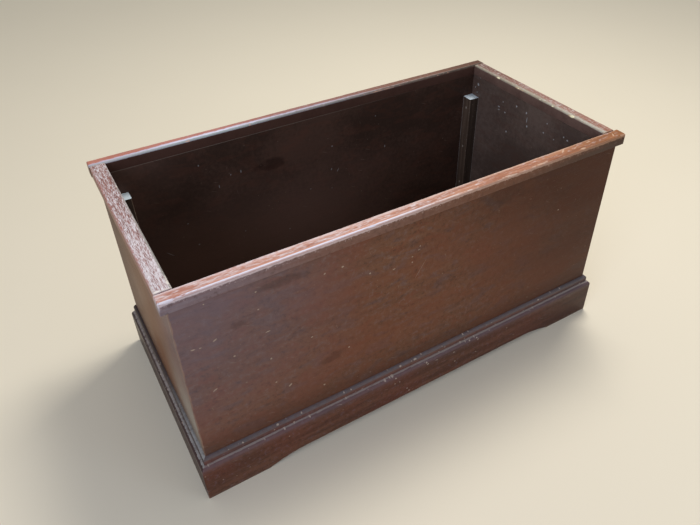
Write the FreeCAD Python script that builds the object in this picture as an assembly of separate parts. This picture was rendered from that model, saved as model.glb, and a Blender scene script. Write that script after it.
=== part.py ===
import FreeCAD, Part
import math
import os

from FreeCAD import Vector

# Open-topped toy box. Millimetres, +Z up, front towards -Y.
# It is drawn about the middle of the carcass and moved at the end, so that the origin is
# on the floor under the middle of the whole.

# Carcass
inner_length = 840.0
inner_depth = 392.0
total_height = 450.0
wall = 19.0
wall_lift = 18.0            # gap under the walls, which the plinth hides
corner_lip = 6.0            # what the corner rebate leaves of a long panel's thickness
corner_round = 2.0

# Rim strips, flush with the inside of the walls
strip_thick = 22.0
long_strip_width = 23.0
end_strip_width = 27.0
strip_overrun = 1.0         # long strip's end past the end strip's outer edge
front_right_overrun = 7.0   # the same at the front right corner, left long by its maker
rim_joint_gap = 1.2         # open butt joint at the front strip
strip_round = 2.5

# Plinth: skirting board with a small round-over, a flat, and a larger round-over below
plinth_height = 98.0
bead_radius = 6.0
bead_drop = 8.5
ovolo_radius = 7.5
foot_length = 115.0
relief_height = 14.0
relief_round = 220.0

# Corner posts
post_side = 25.0
post_below_rim = 71.0
post_chamfer = 2.0

# Bottom board on cleats
cleat_side = 20.0
cleat_chamfer = 2.0
board_thick = 12.0
board_gap = 1.0

# Cut nails through the posts, the cleats and the bottom board
nail_thick = 3.0
nail_width = 3.5            # under the head
nail_tip_width = 1.5
nail_head_width = 5.5
nail_head_depth = 2.0
nail_bite = 12.0            # length in the wall or the cleat
post_nail_drop = 25.0       # top nail below the post's top
post_nail_pitch = 104.0
cleat_nail_margin = 60.0    # end nail from the cleat's end
board_nail_offset = 30.0    # nail in the bottom board from the nearest nail in the cleat

# Headless brads, punched under the surface and filled over
brad_thick = 1.6
brad_width = 1.8
brad_tip_width = 0.8
brad_set = 3.0
rim_brad_bite = 18.0        # length in the wall
rim_brad_margin = 70.0
plinth_brad_bite = 6.0
plinth_brad_margin = 60.0
plinth_brad_height = 62.0

hole_gap = 0.05             # between a shank and its hole

# Worked out from the sizes above
outer_length = inner_length + 2 * wall
outer_depth = inner_depth + 2 * wall
half_in = Vector(inner_length / 2, inner_depth / 2, 0)
half_out = Vector(outer_length / 2, outer_depth / 2, 0)
wall_top = total_height - strip_thick
plinth_thick = bead_radius + ovolo_radius
ovolo_foot = plinth_height - bead_radius - bead_drop - ovolo_radius
post_top = total_height - post_below_rim
cleat_top = wall_lift + cleat_side
board_top = cleat_top + board_thick
cleat_length = inner_length - 2 * post_side
end_cleat_length = inner_depth - 2 * post_side
rim_half_length = half_in.x + end_strip_width

RIGHT = Vector(1, 0, 0)
BACK = Vector(0, 1, 0)
UP = Vector(0, 0, 1)
SIDES = (-1, 1)


def block(x, y, z):
    """Box between two values along each axis, in either order."""
    low = Vector(min(x), min(y), min(z))
    return Part.makeBox(max(x) - low.x, max(y) - low.y, max(z) - low.z, low)


def spread(count, span):
    """Evenly spaced places over a span about its middle, both ends included."""
    return [span * (i / (count - 1) - 0.5) for i in range(count)]


def edges_where(shape, test):
    """Straight edges whose two ends both pass a test."""
    return [e for e in shape.Edges if len(e.Vertexes) == 2 and all(test(v.Point) for v in e.Vertexes)]


def near(a, b):
    return abs(a - b) < 1e-6


def flat_nail(half_outline, thick, start, direction):
    """Nail cut from plate: (half width, depth) points down one side, mirrored, driven along a direction."""
    one_side = [Vector(w, -thick / 2, d) for w, d in half_outline]
    other_side = [Vector(-p.x, p.y, p.z) for p in reversed(one_side)]
    outline = one_side + other_side
    solid = Part.Face(Part.makePolygon(outline + outline[:1])).extrude(BACK * thick)
    solid.Placement = FreeCAD.Placement(start, FreeCAD.Rotation(UP, direction))
    return solid


def nail(start, direction, grip, gap=0.0):
    """Cut nail with a square head, through a grip and into what lies behind, or with a gap, its hole."""
    half_outline = [
        (nail_head_width / 2 + gap, 0),
        (nail_head_width / 2 + gap, nail_head_depth + gap),
        (nail_width / 2 + gap, nail_head_depth + gap),
        (nail_tip_width / 2 + gap, grip + nail_bite + gap),
    ]
    return flat_nail(half_outline, nail_thick + 2 * gap, start, direction)


def brad(start, direction, length, gap=0.0):
    """Headless tapered brad, or with a gap, its hole."""
    half_outline = [(brad_width / 2 + gap, -gap), (brad_tip_width / 2 + gap, length + gap)]
    return flat_nail(half_outline, brad_thick + 2 * gap, start, direction)


# Places of the fasteners

def post_nail_places():
    """Three nails from each post into its end wall and two, between them, into its long wall."""
    places = []
    first = post_top - post_nail_drop
    for sx in SIDES:
        for sy in SIDES:
            face = Vector(sx * (half_in.x - post_side), sy * (half_in.y - post_side), 0)
            middle = Vector(sx * (half_in.x - post_side / 2), sy * (half_in.y - post_side / 2), 0)
            for i in range(3):
                z = first - i * post_nail_pitch
                places.append((Vector(face.x, middle.y, z), RIGHT * sx, post_side))
            for i in range(2):
                z = first - (i + 0.5) * post_nail_pitch
                places.append((Vector(middle.x, face.y, z), BACK * sy, post_side))
    return places


def cleat_nail_places():
    places = []
    z = wall_lift + cleat_side / 2
    for s in SIDES:
        for x in spread(3, cleat_length - 2 * cleat_nail_margin):
            places.append((Vector(x, s * (half_in.y - cleat_side), z), BACK * s, cleat_side))
        for y in spread(2, end_cleat_length - 2 * cleat_nail_margin):
            places.append((Vector(s * (half_in.x - cleat_side), y, z), RIGHT * s, cleat_side))
    return places


def board_nail_places():
    """Down along the middle of each cleat, clear of its own nails."""
    places = []
    long_span = cleat_length - 2 * cleat_nail_margin + 2 * board_nail_offset
    end_span = end_cleat_length - 2 * cleat_nail_margin - 2 * board_nail_offset
    for s in SIDES:
        for x in spread(4, long_span):
            places.append((Vector(x, s * (half_in.y - cleat_side / 2), board_top), -UP, board_thick))
        for y in spread(2, end_span):
            places.append((Vector(s * (half_in.x - cleat_side / 2), y, board_top), -UP, board_thick))
    return places


def rim_brad_places():
    """Down through the strips into the middle of the walls."""
    places = []
    z = total_height - brad_set
    length = strip_thick - brad_set + rim_brad_bite
    for s in SIDES:
        for x in spread(4, inner_length - 2 * rim_brad_margin):
            places.append((Vector(x, s * (half_in.y + wall / 2), z), -UP, length))
        for y in spread(2, inner_depth - 2 * rim_brad_margin):
            places.append((Vector(s * (half_in.x + wall / 2), y, z), -UP, length))
    return places


def plinth_brad_places():
    """Through the flat of the plinth into the walls."""
    places = []
    z = plinth_brad_height
    depth = plinth_thick - brad_set
    length = depth + plinth_brad_bite
    for x in spread(4, outer_length - 2 * plinth_brad_margin):
        places.append((Vector(x, -half_out.y - depth, z), BACK, length))
    for s in SIDES:
        for y in spread(2, outer_depth - 2 * plinth_brad_margin):
            places.append((Vector(s * (half_out.x + depth), y, z), RIGHT * -s, length))
    return places


def drilled(shape, holes):
    """Cuts those holes that reach the shape."""
    reaching = [h for h in holes if h.BoundBox.intersect(shape.BoundBox)]
    return shape.cut(reaching) if reaching else shape


# Pieces of wood

def long_panel(s):
    """Front or back wall, rebated at both ends for the end walls, with eased outer corners."""
    inside = s * half_in.y
    outside = s * half_out.y
    panel = block((-half_out.x, half_out.x), (inside, outside), (wall_lift, wall_top))
    for end in SIDES:
        rebate_x = (end * half_in.x, end * half_out.x)
        rebate_y = (inside, outside - s * corner_lip)
        panel = panel.cut(block(rebate_x, rebate_y, (wall_lift, wall_top)))
    corners = edges_where(panel, lambda p: near(abs(p.x), half_out.x) and near(p.y, outside))
    upright = [e for e in corners if near(e.Length, wall_top - wall_lift)]
    return panel.makeFillet(corner_round, upright)


def end_panel(s):
    """Left or right wall, whose ends lie in the rebates."""
    reach = half_out.y - corner_lip
    return block((s * half_in.x, s * half_out.x), (-reach, reach), (wall_lift, wall_top))


def long_strip(s, left_overrun, right_overrun):
    """Front or back rim strip with its top edges and ends rounded."""
    left = -rim_half_length - left_overrun
    right = rim_half_length + right_overrun
    y = (s * half_in.y, s * (half_in.y + long_strip_width))
    strip = block((left, right), y, (wall_top, total_height))
    return strip.makeFillet(strip_round, edges_where(strip, lambda p: near(p.z, total_height)))


def end_strip(s):
    """Left or right rim strip, butted between the long ones, with its top edges rounded."""
    x = (s * half_in.x, s * rim_half_length)
    front = -half_in.y + rim_joint_gap
    strip = block(x, (front, half_in.y), (wall_top, total_height))
    top = edges_where(strip, lambda p: near(p.z, total_height))
    along = [e for e in top if near(e.Length, half_in.y - front)]
    return strip.makeFillet(strip_round, along)


def moulding(start, run, outward):
    """Length of plinth section, its flat back against a wall."""
    def at(out, height):
        return start + outward * out + UP * height

    def round_over(radius, centre_out, centre_height):
        middle = radius * math.sqrt(0.5)
        low = at(centre_out + radius, centre_height)
        high = at(centre_out, centre_height + radius)
        return Part.Arc(low, at(centre_out + middle, centre_height + middle), high).toShape()

    bead_foot = plinth_height - bead_radius
    outline = [
        Part.makeLine(at(0, 0), at(plinth_thick, 0)),
        Part.makeLine(at(plinth_thick, 0), at(plinth_thick, ovolo_foot)),
        round_over(ovolo_radius, bead_radius, ovolo_foot),
        Part.makeLine(at(bead_radius, ovolo_foot + ovolo_radius), at(bead_radius, bead_foot)),
        round_over(bead_radius, 0, bead_foot),
        Part.makeLine(at(0, plinth_height), at(0, 0)),
    ]
    return Part.Face(Part.Wire(outline)).extrude(run)


def plan_prism(corners):
    """Upright prism as high as the plinth, for cutting mitres."""
    points = [Vector(x, y, 0) for x, y in corners]
    return Part.Face(Part.makePolygon(points + points[:1])).extrude(UP * plinth_height)


def relief():
    """Shallow cut under the front plinth: a level top that curves down to a foot at each end."""
    half = half_out.x + plinth_thick - foot_length
    rise = math.sqrt(relief_height * (2 * relief_round - relief_height))
    y = -half_out.y - plinth_thick
    turn = math.atan2(rise, relief_round - relief_height) / 2
    ends = []
    for s in SIDES:
        centre = Vector(s * (half - rise), y, relief_height - relief_round)
        middle = centre + Vector(s * math.sin(turn), 0, math.cos(turn)) * relief_round
        foot = Vector(s * half, y, 0)
        top = Vector(s * (half - rise), y, relief_height)
        ends.append((foot, middle, top))
    (foot_l, mid_l, top_l), (foot_r, mid_r, top_r) = ends
    outline = [
        Part.makeLine(foot_r, foot_l),
        Part.Arc(foot_l, mid_l, top_l).toShape(),
        Part.makeLine(top_l, top_r),
        Part.Arc(top_r, mid_r, foot_r).toShape(),
    ]
    return Part.Face(Part.Wire(outline)).extrude(BACK * plinth_thick)


def front_plinth():
    reach = half_out.x + plinth_thick
    face = -half_out.y - plinth_thick
    board = moulding(Vector(-reach, -half_out.y, 0), RIGHT * 2 * reach, -BACK)
    mitred = [(-reach, face), (reach, face), (half_out.x, -half_out.y), (-half_out.x, -half_out.y)]
    return board.common(plan_prism(mitred)).cut(relief())


def end_plinth(s):
    """Mitred at the front, and cut off level with the back wall's outer face."""
    reach = half_out.x + plinth_thick
    face = -half_out.y - plinth_thick
    board = moulding(Vector(s * half_out.x, face, 0), BACK * (half_out.y - face), RIGHT * s)
    mitred = [
        (s * half_out.x, -half_out.y),
        (s * half_out.x, half_out.y),
        (s * reach, half_out.y),
        (s * reach, face),
    ]
    return board.common(plan_prism(mitred))


def post(sx, sy):
    """Square post standing in a corner, with its exposed edge taken off."""
    inner = Vector(sx * (half_in.x - post_side), sy * (half_in.y - post_side), 0)
    solid = block((sx * half_in.x, inner.x), (sy * half_in.y, inner.y), (0, post_top))
    exposed = edges_where(solid, lambda p: near(p.x, inner.x) and near(p.y, inner.y))
    return solid.makeChamfer(post_chamfer, exposed)


def long_cleat(s):
    inner = s * (half_in.y - cleat_side)
    half = cleat_length / 2
    solid = block((-half, half), (s * half_in.y, inner), (wall_lift, cleat_top))
    exposed = edges_where(solid, lambda p: near(p.y, inner) and near(p.z, wall_lift))
    return solid.makeChamfer(cleat_chamfer, exposed)


def end_cleat(s):
    inner = s * (half_in.x - cleat_side)
    half = end_cleat_length / 2
    solid = block((s * half_in.x, inner), (-half, half), (wall_lift, cleat_top))
    exposed = edges_where(solid, lambda p: near(p.x, inner) and near(p.z, wall_lift))
    return solid.makeChamfer(cleat_chamfer, exposed)


def bottom_board():
    """Loose-fitting board, notched at its corners round the posts."""
    half = half_in - Vector(board_gap, board_gap, 0)
    z = (cleat_top, board_top)
    board = block((-half.x, half.x), (-half.y, half.y), z)
    notch = half_in - Vector(post_side + board_gap, post_side + board_gap, 0)
    for sx in SIDES:
        for sy in SIDES:
            board = board.cut(block((sx * notch.x, sx * half.x), (sy * notch.y, sy * half.y), z))
    return board


# The whole

nails = {
    "post_nails": post_nail_places(),
    "cleat_nails": cleat_nail_places(),
    "bottom_nails": board_nail_places(),
}
brads = {
    "rim_brads": rim_brad_places(),
    "plinth_brads": plinth_brad_places(),
}
holes = [nail(*place, gap=hole_gap) for places in nails.values() for place in places]
holes += [brad(*place, gap=hole_gap) for places in brads.values() for place in places]

wood = {
    "front_panel": long_panel(-1),
    "back_panel": long_panel(1),
    "left_panel": end_panel(-1),
    "right_panel": end_panel(1),
    "front_rim_strip": long_strip(-1, strip_overrun, front_right_overrun),
    "back_rim_strip": long_strip(1, strip_overrun, strip_overrun),
    "left_rim_strip": end_strip(-1),
    "right_rim_strip": end_strip(1),
    "front_plinth": front_plinth(),
    "left_plinth": end_plinth(-1),
    "right_plinth": end_plinth(1),
    "front_left_post": post(-1, -1),
    "front_right_post": post(1, -1),
    "back_left_post": post(-1, 1),
    "back_right_post": post(1, 1),
    "front_cleat": long_cleat(-1),
    "back_cleat": long_cleat(1),
    "left_cleat": end_cleat(-1),
    "right_cleat": end_cleat(1),
    "bottom_board": bottom_board(),
}
pieces = {name: drilled(shape, holes) for name, shape in wood.items()}
for name, places in nails.items():
    pieces[name] = Part.makeCompound([nail(*place) for place in places])
for name, places in brads.items():
    pieces[name] = Part.makeCompound([brad(*place) for place in places])

whole = Part.makeCompound(list(pieces.values())).BoundBox
to_origin = Vector(-whole.Center.x, -whole.Center.y, -whole.ZMin)

os.makedirs("parts", exist_ok=True)
for name, shape in pieces.items():
    placed = shape.copy()
    placed.translate(to_origin)
    placed.exportStep("parts/" + name + ".step")
    print(name, "solids", len(placed.Solids), "volume", round(placed.Volume), "valid", placed.isValid())
print("carcass middle from the origin", round(to_origin.x, 3), round(to_origin.y, 3))
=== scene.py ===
import math

import bmesh
import bpy
from mathutils import Matrix, Vector, noise


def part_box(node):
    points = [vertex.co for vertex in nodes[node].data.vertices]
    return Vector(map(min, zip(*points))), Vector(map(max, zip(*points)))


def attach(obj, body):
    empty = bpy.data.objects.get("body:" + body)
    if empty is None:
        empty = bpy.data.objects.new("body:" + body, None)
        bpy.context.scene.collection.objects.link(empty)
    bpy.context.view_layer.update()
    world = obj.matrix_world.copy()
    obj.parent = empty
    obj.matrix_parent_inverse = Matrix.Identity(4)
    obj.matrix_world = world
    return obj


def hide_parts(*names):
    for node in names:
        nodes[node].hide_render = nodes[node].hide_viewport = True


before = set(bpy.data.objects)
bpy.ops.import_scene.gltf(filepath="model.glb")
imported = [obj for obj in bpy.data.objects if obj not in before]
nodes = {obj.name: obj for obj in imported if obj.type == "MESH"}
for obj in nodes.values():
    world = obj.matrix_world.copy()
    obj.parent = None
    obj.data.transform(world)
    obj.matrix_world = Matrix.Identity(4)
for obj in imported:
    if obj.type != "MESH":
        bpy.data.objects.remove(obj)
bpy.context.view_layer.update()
mm = 0.001
print("frame loaded,", len(nodes), "nodes")


# Shader building: sums are written as Python expressions on sockets

class Socket:
    def __init__(self, finish, socket):
        self.finish = finish
        self.socket = socket

    def other(self, output):
        return Socket(self.finish, self.socket.node.outputs[output])

    def calc(self, operation, first, second=0.0):
        return self.finish.add("ShaderNodeMath", {"operation": operation}, {0: first, 1: second})

    def __add__(self, value):
        return self.calc("ADD", self, value)

    def __sub__(self, value):
        return self.calc("SUBTRACT", self, value)

    def __rsub__(self, value):
        return self.calc("SUBTRACT", value, self)

    def __mul__(self, value):
        return self.calc("MULTIPLY", self, value)

    def __truediv__(self, value):
        return self.calc("DIVIDE", self, value)

    __radd__ = __add__
    __rmul__ = __mul__

    def atMost(self, value):
        return self.calc("MINIMUM", self, value)

    def atLeast(self, value):
        return self.calc("MAXIMUM", self, value)


class Finish:
    def __init__(self, name, look):
        self.look = look
        self.color = None
        self.material = bpy.data.materials.new(name)
        self.material.use_nodes = True
        self.tree = self.material.node_tree
        self.shader = next(n for n in self.tree.nodes if n.type == "BSDF_PRINCIPLED")
        self.place = self.add("ShaderNodeTexCoord", output="Object")
        x = self.add("ShaderNodeSeparateXYZ", sockets={0: self.place})
        self.axis = (x, x.other("Y"), x.other("Z"))

    def feed(self, target, value):
        if isinstance(value, Socket):
            self.tree.links.new(value.socket, target)
        else:
            target.default_value = value

    def add(self, kind, settings=None, sockets=None, output=0):
        node = self.tree.nodes.new(kind)
        for key, value in (settings or {}).items():
            setattr(node, key, value)
        for key, value in (sockets or {}).items():
            self.feed(node.inputs[key], value)
        return Socket(self, node.outputs[output])

    def mix(self, factor, first, second):
        settings = {"data_type": "RGBA", "clamp_factor": True}
        return self.add("ShaderNodeMix", settings, {0: factor, 6: first, 7: second}, 2)

    def ramp(self, value, low, high):
        settings = {"interpolation_type": "SMOOTHSTEP", "clamp": True}
        return self.add("ShaderNodeMapRange", settings, {"Value": value, "From Min": low, "From Max": high})

    def scaled(self, vector, frequency, seed=0.0):
        sockets = {0: vector, 1: frequency, 2: (seed, seed * 1.7, seed * 2.3)}
        return self.add("ShaderNodeVectorMath", {"operation": "MULTIPLY_ADD"}, sockets)

    def cloud(self, vector, detail=2.0, rough=0.5, twist=0.0):
        sockets = {"Vector": vector, "Scale": 1.0, "Detail": detail}
        sockets.update({"Roughness": rough, "Distortion": twist})
        return self.add("ShaderNodeTexNoise", {}, sockets)

    # A change that the look names, as where it starts, where it is full, and its strength
    def fade(self, name, value):
        start, full, strength = self.look[name]
        return self.ramp(value, start, full) * strength

    # Lays a colour, or a tone that the look names, over the colour so far
    def lay(self, factor, over):
        over = self.look[over] if isinstance(over, str) else over
        self.color = self.mix(factor, self.color, over)

    # Tones laid one over another: each by its pattern, where that starts and is full, and its strength
    def layers(self, fields, rows):
        for name, start, full, strength, over in rows:
            self.lay(self.ramp(fields[name], start, full) * strength, over)

    def surface(self, roughness, height, specular=0.5):
        sockets = {"Height": height, "Distance": self.look["bump"], "Strength": 1.0}
        bump = self.add("ShaderNodeBump", {}, sockets)
        self.feed(self.shader.inputs["Specular IOR Level"], specular)
        self.feed(self.shader.inputs["Base Color"], self.color)
        self.feed(self.shader.inputs["Roughness"], roughness)
        self.feed(self.shader.inputs["Normal"], bump)
        return self.material


# Screen colour, 0 to 255, as linear light
def tone(red, green, blue):
    def linear(value):
        share = value / 255
        return share / 12.92 if share <= 0.04045 else ((share + 0.055) / 1.055) ** 2.4
    return (linear(red), linear(green), linear(blue), 1.0)


# Grain, stretched along one axis of the piece
def grainField(finish, along, lengthwise, across, seed, detail=2.0, twist=0.0):
    frequency = [across] * 3
    frequency[along] = lengthwise
    return finish.cloud(finish.scaled(finish.place, frequency, seed), detail, 0.55, twist)


# Patterns of one finish: grains as (along, across, seed step, detail, twist), both per metre, and clouds
# as (per metre on X, Y and Z, seed step, detail, roughness)
def patterns(finish, along, seed, grains, clouds):
    fields = {}
    for name, (lengthwise, across, step, detail, twist) in grains.items():
        fields[name] = grainField(finish, along, lengthwise, across, seed + step, detail, twist)
    for name, (frequency, step, detail, rough) in clouds.items():
        fields[name] = finish.cloud(finish.scaled(finish.place, frequency, seed + step), detail, rough)
    return fields


# A jittered grid: how far from the middle of its cell, the cell's chances, and whether it is picked
def gridCells(finish, grid, share):
    cell = finish.add("ShaderNodeTexVoronoi", {"voronoi_dimensions": "2D"}, {"Vector": grid, "Scale": 1.0})
    chance = finish.add("ShaderNodeSeparateColor", sockets={0: cell.other("Color")})
    return cell, chance, finish.ramp(chance, 1 - share, 1 - share + 0.01)


# Small round flecks on a face: one in a few of the grid's cells
fleckShape = {"wobble": 700, "ragged": 1.2, "smallest": 0.4, "faintest": 0.35, "rim": (1.0, 0.5)}


def flecks(finish, flat, perMetre, radius, share, seed):
    own = fleckShape
    wobble = finish.cloud(finish.scaled(flat, (own["wobble"],) * 3, seed), 1.0)
    distance, chance, picked = gridCells(finish, finish.scaled(flat, (perMetre,) * 3, seed), share)
    size = radius * perMetre * (own["smallest"] + chance.other("Green"))
    edge = distance + (wobble - 0.5) * (own["ragged"] * radius * perMetre)
    shown = picked * (own["faintest"] + (1 - own["faintest"]) * chance.other("Blue"))
    return finish.ramp(edge / size, *own["rim"]) * shown


# Short straight scratches, as cells of a grid that is turned and drawn out: rows of (angle, per metre,
# length, width, share of the cells, seed step)
def scratches(finish, flat, rows, seed):
    turn = {"rotation_type": "Z_AXIS"}
    total = 0.0
    for angle, perMetre, length, width, share, step in rows:
        sockets = {"Vector": flat, "Angle": math.radians(angle)}
        turned = finish.add("ShaderNodeVectorRotate", turn, sockets)
        stretch = length / width
        grid = finish.scaled(turned, (perMetre, perMetre * stretch, 0), seed + step)
        distance, chance, picked = gridCells(finish, grid, share)
        half = length * perMetre / 2
        total = (finish.ramp(distance, half, half * 0.5) * picked).atLeast(total)
    return total


# Single marks with ragged edges, as (along, up, length, width, tilt in degrees), sizes in mm
markShape = {"wobble": 600, "ragged": 1.6, "core": 0.35}


def placedMarks(finish, along, marks, seed, soft=1):
    own = markShape
    wobble = finish.cloud(finish.scaled(finish.place, (own["wobble"] / soft ** 2,) * 3, seed), 2.0)
    total = 0.0
    dot = {"operation": "DOT_PRODUCT"}
    for at, up, length, width, tilt in marks:
        turn = math.radians(tilt)
        middle, lengthwise, crosswise = Vector((0, 0, up)), Vector((0, 0, 0)), Vector((0, 0, 0))
        middle[along] = at
        lengthwise[along], lengthwise.z = math.cos(turn), math.sin(turn)
        crosswise[along], crosswise.z = -math.sin(turn), math.cos(turn)
        offset = finish.add("ShaderNodeVectorMath", {"operation": "SUBTRACT"}, {0: finish.place, 1: middle})
        u = finish.add("ShaderNodeVectorMath", dot, {0: offset, 1: lengthwise * 2 / (length * mm)}, "Value")
        v = finish.add("ShaderNodeVectorMath", dot, {0: offset, 1: crosswise * 2 / (width * mm)}, "Value")
        mark = finish.ramp(u * u + v * v + (wobble - 0.5) * own["ragged"], 1.0, own["core"] / soft)
        total = mark.atLeast(total)
    return total


# Carcass walls: dark red-brown stain outside, nearly black inside
wallLook = {
    "light": tone(121, 83, 62),
    "dark": tone(107, 72, 54),
    "red": tone(119, 71, 51),
    "smudge": tone(66, 46, 39),
    # Painted shade, darker towards the high end of the walls and under the front strip
    "deepShade": tone(62, 27, 12),
    # Painted reflection: a bluish-grey sheen towards the low end of the front and left walls
    "paintedSheen": tone(120, 115, 131),
    # Painted reflection of the floor on the lower front of the left wall
    "haze": tone(162, 155, 142),
    "dull": tone(94, 80, 82),
    "lifted": tone(118, 92, 82),
    # Painted light, lightening the inside of the back wall
    "pore": tone(48, 31, 26),
    "raw": tone(150, 118, 84),
    "fleck": tone(196, 178, 158),
    "speck": tone(204, 208, 210),
    "warm": tone(104, 62, 48),
    "pale": tone(124, 104, 98),
    # Painted olive shade and reflection of the surroundings on the left wall
    "paintedOlive": tone(114, 66, 24),
    "worn": tone(150, 124, 106),
    "endGrain": tone(118, 90, 74),
    "dust": tone(128, 116, 106),
    "gloss": 0.40,
    "innerGloss": 0.1,
    "bump": 0.25 * mm,
    "skin": 0.1 * mm,               # how sharply the outer finish gives way inside the board
    "faceShift": 0.731,             # keeps the flecks of the two faces apart
    "porous": (0.60, 0.72),
    "deepMost": 0.85,
    # Painted shade just above the plinth
    "grime": (0.165, 0.100, 0.5),
    "arris": (2.0 * mm, 0.8 * mm, 0.6),
    "arrisWander": 5 * mm,
    "endReach": (0.5 * mm, 0.2 * mm, 0.5),
    "spots": (26, 1.4 * mm, 0.15),  # flecks per metre, their radius, the share that shows
    "dustSpots": (70, 0.8 * mm, 0.12),
    "scratches": ((24, 9, 16 * mm, 0.9 * mm, 0.06, 0), (75, 9, 12 * mm, 0.8 * mm, 0.04, 13)),
    "jointReach": (1.5 * mm, 0.8 * mm, 1.0),
    "jointRun": (0.90, 0.35),
    "rawReach": (0.6 * mm, 0.2 * mm, 1.0),
}
wallGrain = {
    "streak": (3.4, 58, 0, 2.0, 0.5),
    "smudge": (7, 34, 1, 3.0, 1.2),
    "fibre": (14, 420, 3, 2.0, 0.0),
    "pores": (38, 900, 5, 1.0, 0.0),
    "cloudy": (20, 48, 9, 3.0, 0.8),
}
wallClouds = {
    "blotch": ((6, 6, 8), 7, 4.0, 0.5),
    "mottle": ((120, 120, 120), 8, 5.0, 0.65),
    "rub": ((60, 60, 60), 0, 3.0, 0.5),
}
wallLayers = (
    ("streak", 0.20, 0.80, 1.0, "light"),
    ("cloudy", 0.50, 0.66, 0.60, "red"),
    ("cloudy", 0.50, 0.34, 0.42, "dull"),
    ("mottle", 0.50, 0.72, 0.52, "smudge"),
    ("mottle", 0.48, 0.30, 0.48, "pale"),
    ("blotch", 0.44, 0.66, 0.5, "red"),
    ("smudge", 0.60, 0.80, 0.22, "smudge"),
    ("fibre", 0.45, 0.75, 0.07, "light"),
)
innerLayers = (("cloudy", 0.48, 0.64, 0.16, "warm"),)

# Where the finish changes over a wall: shares of its run, heights, and strength
anyHeight = (-1.0, 0.0)
wallZones = {
    # Painted sheen towards the low end, stronger higher up
    "paintedSheen": ((0.42, 0.0), (0.02, 0.44), 1.0),
    # Painted floor reflection, low down towards the low end
    "haze": ((0.55, 0.0), (0.34, 0.14), 1.0),
    # Painted olive shade and reflection
    "paintedOlive": ((0.10, 0.45), anyHeight, 1.0),
    # Painted shade towards the high end and under the strip, less of it low down
    "deepShade": ((0.45, 1.0), anyHeight, 1.0),
    "upperDeep": ((0.40, 0.68), (0.28, 0.40), 0.31),
    "lowerPale": ((0.45, 0.75), (0.24, 0.12), 0.26),
    # Painted light inside the back wall, low down towards its low end and near that end
    "paintedLight": ((0.80, 0.40), (0.36, 0.16), 1.0),
    "paintedEndLight": ((0.22, 0.04), anyHeight, 0.35),
}

# Each wall by its run, its inner colours and how far it darkens towards its high end as painted shade. Some
# have a painted bluish sheen towards the low end, a painted reflection of the floor there, a painted olive
# shade and reflection, stains in places, a pale joint under the strip, or are specked inside or lightened
# inside as painted light
wallSides = {
    "front": {
        "along": 0, "outward": -1, "inner": ((88, 66, 56), (62, 46, 38)),
        "paintedSheen": 0.46, "deepShade": 0.81, "specular": 0.10, "stained": 0.30,
    },
    "back": {
        "along": 0, "outward": 1, "inner": ((82, 61, 52), (60, 45, 38)),
        # lift is how strong the painted light inside is
        "joint": 0.65, "deepShade": 0.2, "specular": 0.10, "specks": 0.34, "lift": 0.72, "stained": 0.65,
    },
    "left": {
        "along": 1, "outward": -1, "inner": ((94, 70, 60), (68, 50, 43)),
        "paintedSheen": 0.25, "deepShade": 0.6, "haze": 0.8, "specular": 0.05, "paintedOlive": 0.75,
    },
    "right": {
        # The inside is lighter than the other walls' partly as painted light
        "along": 1, "outward": 1, "inner": ((122, 105, 96), (98, 83, 76)),
        "deepShade": 0.2, "specular": 0.10, "specks": 1.0,
    },
}

# Single marks on the walls' faces, and soft dark stains, in rows as placedMarks takes them
outerMarks = {
    "front": [
        (-0.418, 0.342, 8, 3, -8), (-0.407, 0.340, 4, 2.5, 0), (-0.312, 0.405, 4, 3.5, 0),
        (-0.360, 0.296, 4, 3.5, 0), (-0.303, 0.257, 4, 4, 0), (-0.399, 0.242, 10, 3, 28),
        (-0.276, 0.176, 9, 4, 40), (-0.302, 0.318, 10, 2.5, 4), (-0.384, 0.344, 9, 3, 30),
        (-0.312, 0.370, 4, 3, 0), (-0.389, 0.418, 3, 3, 0), (-0.199, 0.389, 5, 3, 20),
        (-0.167, 0.389, 5, 4, 0), (-0.117, 0.353, 4, 4, 0), (-0.070, 0.341, 7, 2.5, 0),
        (-0.229, 0.266, 5, 3, 0), (-0.161, 0.204, 4, 4, 0), (-0.300, 0.198, 4, 3, 0),
        (-0.213, 0.137, 5, 4, 0), (0.310, 0.323, 4, 3, 10), (-0.015, 0.317, 46, 0.7, 56.6),
        (-0.018, 0.369, 4, 2.5, 70), (-0.020, 0.362, 6, 2, 0), (-0.033, 0.352, 4, 2, 0),
        (-0.033, 0.340, 4, 2.5, 20),
    ],
}
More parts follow.
